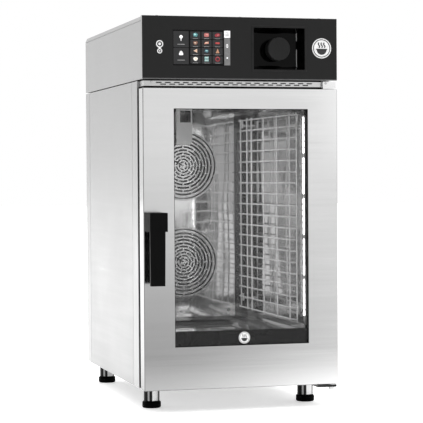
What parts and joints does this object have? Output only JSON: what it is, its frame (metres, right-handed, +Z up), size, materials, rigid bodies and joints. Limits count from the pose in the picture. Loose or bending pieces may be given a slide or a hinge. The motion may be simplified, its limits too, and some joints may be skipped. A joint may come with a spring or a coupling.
{
  "type": "combi steamer oven",
  "caption": "Slim floor or bench combi steamer with a glazed side-hung door, lever handle, touch display and dial, tray runners and convection fans.",
  "frame": {"origin": "centre of the bounding box on the floor, under the middle of the footprint", "axes": "+Z up, front (door) faces -Y, +X to the right of a person facing the door"},
  "size_m": [0.519, 0.833, 1.029],
  "materials": {
    "satin_steel": "satin, brushed lengthways",
    "door_steel": "fine upright brushing",
    "cavity_steel": "bright, half-mirror rolled sheet",
    "wire_steel": "electropolished wire",
    "black_fascia": "fine black powder coat",
    "black_gloss": "glossy moulding",
    "black_matt": "fine-grained moulding",
    "knob_plastic": "satin dark grey moulding",
    "clear_glass": "clear tempered glass",
    "display_glass": "black cover lens with lit tiles under it",
    "glass_print": "black fired enamel",
    "black_rubber": "silicone",
    "led_lens": "frosted lens over a row of lamps",
    "pin_steel": "turned and ground",
    "heater_steel": "heat-tinted sheath",
    "motor_alloy": "cast, ribbed",
    "fan_steel": "pressed and welded",
    "bush_polymer": "self-lubricating polymer",
    "circuit_green": "lacquered board",
    "mineral_wool": "pressed fibre slab",
    "grey_plastic": "moulded",
    "pipe_steel": "drawn tube"
  },
  "bodies": {
    "cabinet": {"base_pan": "satin_steel", "leg_sleeves": "wire_steel", "foot_pads": "black_matt", "side_panel_left": "satin_steel", "side_panel_right": "satin_steel", "front_frame": "satin_steel", "rear_panel": "satin_steel", "control_housing": "satin_steel", "top_lid": "satin_steel", "panel_frame": "satin_steel", "control_panel": "black_fascia", "display_lens": "display_glass", "display_module": "black_matt", "circuit_boards": "circuit_green", "knob_recess": "black_gloss", "encoder_body": "grey_plastic", "vent_grille": "satin_steel", "hinge_brackets": "satin_steel", "hinge_pins": "pin_steel", "strike_cup": "pin_steel", "door_gasket": "black_rubber", "cavity_liner": "cavity_steel", "air_baffle": "cavity_steel", "fan_guards": "cavity_steel", "fan_motors": "motor_alloy", "heating_elements": "heater_steel", "rack_rails": "cavity_steel", "injector_cover": "cavity_steel", "wash_nozzle": "cavity_steel", "drain_strainer": "cavity_steel", "drain_pipe": "pipe_steel", "vent_pipe": "pipe_steel", "vent_actuator": "grey_plastic", "cooling_fan_frame": "black_matt", "water_inlet_valve": "grey_plastic", "cable_gland": "black_matt", "insulation": "mineral_wool", "screws": "pin_steel"},
    "door": {"door_skin": "door_steel", "door_inner_frame": "door_steel", "outer_glass": "clear_glass", "glass_print_band": "glass_print", "glass_seals": "black_rubber", "inner_glass": "clear_glass", "window_jamb": "black_matt", "inner_glass_clips": "satin_steel", "led_bar": "led_lens", "door_bushes": "bush_polymer"},
    "handle": {"handle": "black_matt", "handle_spindle": "pin_steel"},
    "selector_plunger": {"encoder_plunger": "grey_plastic"},
    "selector_knob": {"knob": "knob_plastic", "knob_shaft": "pin_steel"},
    "upper_fan": {"fan_wheel_upper": "fan_steel"},
    "lower_fan": {"fan_wheel_lower": "fan_steel"},
    "cooling_fan": {"cooling_fan_rotor": "black_matt"},
    "vent_flap": {"vent_flap": "pipe_steel"},
    "left_rack": {"rack_left": "wire_steel"},
    "right_rack": {"rack_right": "wire_steel"}
  },
  "joints": [
    {"name": "door_hinge", "type": "hinge", "parent": "cabinet", "child": "door", "pos_m": [0.246, -0.3375, 0.4425], "axis": [0, 0, 1], "range_deg": [0, 180]},
    {"name": "handle_turn", "type": "hinge", "parent": "door", "child": "handle", "pos_m": [-0.23475, -0.3515, 0.48775], "axis": [0, 1, 0], "range_deg": [-60, 60]},
    {"name": "knob_push", "type": "slide", "parent": "cabinet", "child": "selector_plunger", "axis": [0, 1, 0], "range_m": [0, 0.002], "stiffness_N_per_m": 600},
    {"name": "knob_turn", "type": "hinge", "parent": "selector_plunger", "child": "selector_knob", "pos_m": [0.1025, -0.3365, 0.9293], "axis": [0, 1, 0], "continuous": true},
    {"name": "upper_fan_spin", "type": "hinge", "parent": "cabinet", "child": "upper_fan", "pos_m": [0, 0.2885, 0.6335], "axis": [0, 1, 0], "continuous": true},
    {"name": "lower_fan_spin", "type": "hinge", "parent": "cabinet", "child": "lower_fan", "pos_m": [0, 0.2885, 0.353], "axis": [0, 1, 0], "continuous": true},
    {"name": "cooling_fan_spin", "type": "hinge", "parent": "cabinet", "child": "cooling_fan", "pos_m": [-0.12, 0.3705, 0.92], "axis": [0, 1, 0], "continuous": true},
    {"name": "vent_flap_turn", "type": "hinge", "parent": "cabinet", "child": "vent_flap", "pos_m": [0.115, 0.2085, 0.93], "axis": [1, 0, 0], "range_deg": [0, 90]},
    {"name": "left_rack_lift", "type": "slide", "parent": "cabinet", "child": "left_rack", "axis": [0, 0, 1], "range_m": [0, 0.012]},
    {"name": "right_rack_lift", "type": "slide", "parent": "cabinet", "child": "right_rack", "axis": [0, 0, 1], "range_m": [0, 0.012]}
  ]
}
